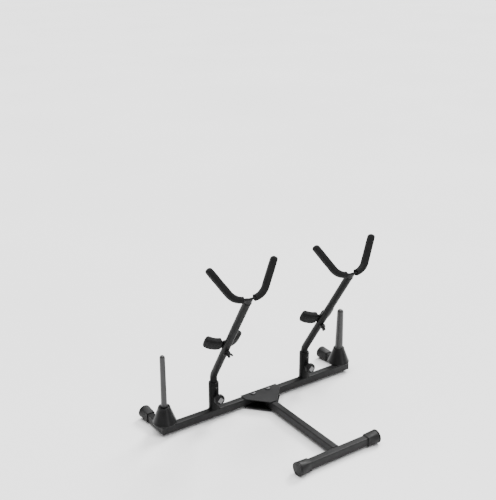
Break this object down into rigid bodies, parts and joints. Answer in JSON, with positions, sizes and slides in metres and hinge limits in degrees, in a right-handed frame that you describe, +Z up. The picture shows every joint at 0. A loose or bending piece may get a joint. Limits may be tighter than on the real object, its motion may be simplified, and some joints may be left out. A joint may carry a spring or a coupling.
{
  "type": "saxophone stand",
  "caption": "Folding black saxophone stand: T-shaped base with rubber end caps, bent arms with padded cradles and bell yokes, and tapered instrument pegs.",
  "frame": {"origin": "on the floor, at the centre of the stand's footprint box", "axes": "+Z up; +X along the main bar, towards the clarinet peg; -Y towards the front leg and its cross tube"},
  "size_m": [0.5296, 0.374, 0.4155],
  "materials": {
    "powder_coat": "satin black powder coat",
    "cap_rubber": "moulded matte rubber",
    "pad_rubber": "soft foam rubber sleeve",
    "peg_base_rubber": "moulded satin rubber",
    "peg_plastic": "smooth black plastic",
    "black_plastic": "moulded black plastic",
    "grey_inlay": "satin grey",
    "zinc_fastener": "zinc plated",
    "clamp_hardware": "dark plated"
  },
  "bodies": {
    "hub": {"front_cross_tube": "powder_coat", "front_foot_left": "cap_rubber", "front_foot_right": "cap_rubber", "front_leg": "powder_coat", "hub_bottom_plate": "powder_coat", "hub_top_plate": "powder_coat", "left_pivot_bolt": "zinc_fastener", "left_pivot_nut": "zinc_fastener", "right_pivot_bolt": "zinc_fastener", "right_pivot_nut": "zinc_fastener"},
    "left_wing": {"flute_peg": "peg_plastic", "flute_peg_base": "peg_base_rubber", "flute_peg_screw": "zinc_fastener", "left_corner_gusset": "powder_coat", "left_half_bar": "powder_coat", "left_knob_boss": "powder_coat", "left_rear_foot": "cap_rubber", "left_side_leg": "powder_coat", "left_socket": "powder_coat", "left_socket_rivet": "zinc_fastener"},
    "left_swivel": {"left_bush": "black_plastic"},
    "left_arm": {"left_arm_tube": "powder_coat", "left_cradle_bolt": "clamp_hardware", "left_yoke_neck": "powder_coat", "left_yoke_pad_left": "pad_rubber", "left_yoke_pad_right": "pad_rubber", "left_yoke_strip": "powder_coat"},
    "left_knob": {"left_height_knob": "black_plastic", "left_knob_inlay": "grey_inlay"},
    "left_cradle": {"left_cradle_bracket": "powder_coat", "left_cradle_pad_left": "pad_rubber", "left_cradle_pad_right": "pad_rubber"},
    "left_nut": {"left_wing_nut": "clamp_hardware"},
    "right_wing": {"clarinet_peg": "peg_plastic", "clarinet_peg_base": "peg_base_rubber", "clarinet_peg_screw": "zinc_fastener", "right_corner_gusset": "powder_coat", "right_half_bar": "powder_coat", "right_knob_boss": "powder_coat", "right_rear_foot": "cap_rubber", "right_side_leg": "powder_coat", "right_socket": "powder_coat", "right_socket_rivet": "zinc_fastener"},
    "right_swivel": {"right_bush": "black_plastic"},
    "right_arm": {"right_arm_tube": "powder_coat", "right_cradle_bolt": "clamp_hardware", "right_yoke_neck": "powder_coat", "right_yoke_pad_left": "pad_rubber", "right_yoke_pad_right": "pad_rubber", "right_yoke_strip": "powder_coat"},
    "right_knob": {"right_height_knob": "black_plastic", "right_knob_inlay": "grey_inlay"},
    "right_cradle": {"right_cradle_bracket": "powder_coat", "right_cradle_pad_left": "pad_rubber", "right_cradle_pad_right": "pad_rubber"},
    "right_nut": {"right_wing_nut": "clamp_hardware"}
  },
  "joints": [
    {"name": "left_fold", "type": "hinge", "parent": "hub", "child": "left_wing", "pos_m": [-0.02, 0.0985, 0.014], "axis": [0, 0, 1], "range_deg": [0, 12]},
    {"name": "left_turn", "type": "hinge", "parent": "left_wing", "child": "left_swivel", "pos_m": [-0.1235, 0.0985, 0.087], "axis": [0, 0, 1], "range_deg": [-30, 7]},
    {"name": "left_height", "type": "slide", "parent": "left_swivel", "child": "left_arm", "axis": [0, 0, 1], "range_m": [-0.007, 0.015]},
    {"name": "left_knob_turn", "type": "hinge", "parent": "left_wing", "child": "left_knob", "pos_m": [-0.1235, 0.0785, 0.056], "axis": [0, -1, 0], "continuous": true},
    {"name": "left_cradle_slide", "type": "slide", "parent": "left_arm", "child": "left_cradle", "axis": [-0.0682, -0.555, 0.829], "range_m": [-0.01, 0]},
    {"name": "left_nut_turn", "type": "hinge", "parent": "left_arm", "child": "left_nut", "pos_m": [-0.13096, 0.03772, 0.19578], "axis": [-0.101, -0.8229, -0.5592], "continuous": true},
    {"name": "right_fold", "type": "hinge", "parent": "hub", "child": "right_wing", "pos_m": [0.02, 0.0985, 0.014], "axis": [0, 0, -1], "range_deg": [0, 12]},
    {"name": "right_turn", "type": "hinge", "parent": "right_wing", "child": "right_swivel", "pos_m": [0.1235, 0.0985, 0.087], "axis": [0, 0, -1], "range_deg": [-40, 0]},
    {"name": "right_height", "type": "slide", "parent": "right_swivel", "child": "right_arm", "axis": [0, 0, 1], "range_m": [0, 0.022]},
    {"name": "right_knob_turn", "type": "hinge", "parent": "right_wing", "child": "right_knob", "pos_m": [0.1235, 0.0785, 0.056], "axis": [0, -1, 0], "continuous": true},
    {"name": "right_cradle_slide", "type": "slide", "parent": "right_arm", "child": "right_cradle", "axis": [-0.0487, -0.5571, 0.829], "range_m": [-0.01, 0]},
    {"name": "right_nut_turn", "type": "hinge", "parent": "right_arm", "child": "right_nut", "pos_m": [0.11816, 0.0375, 0.18878], "axis": [-0.0723, -0.8259, -0.5592], "continuous": true}
  ]
}
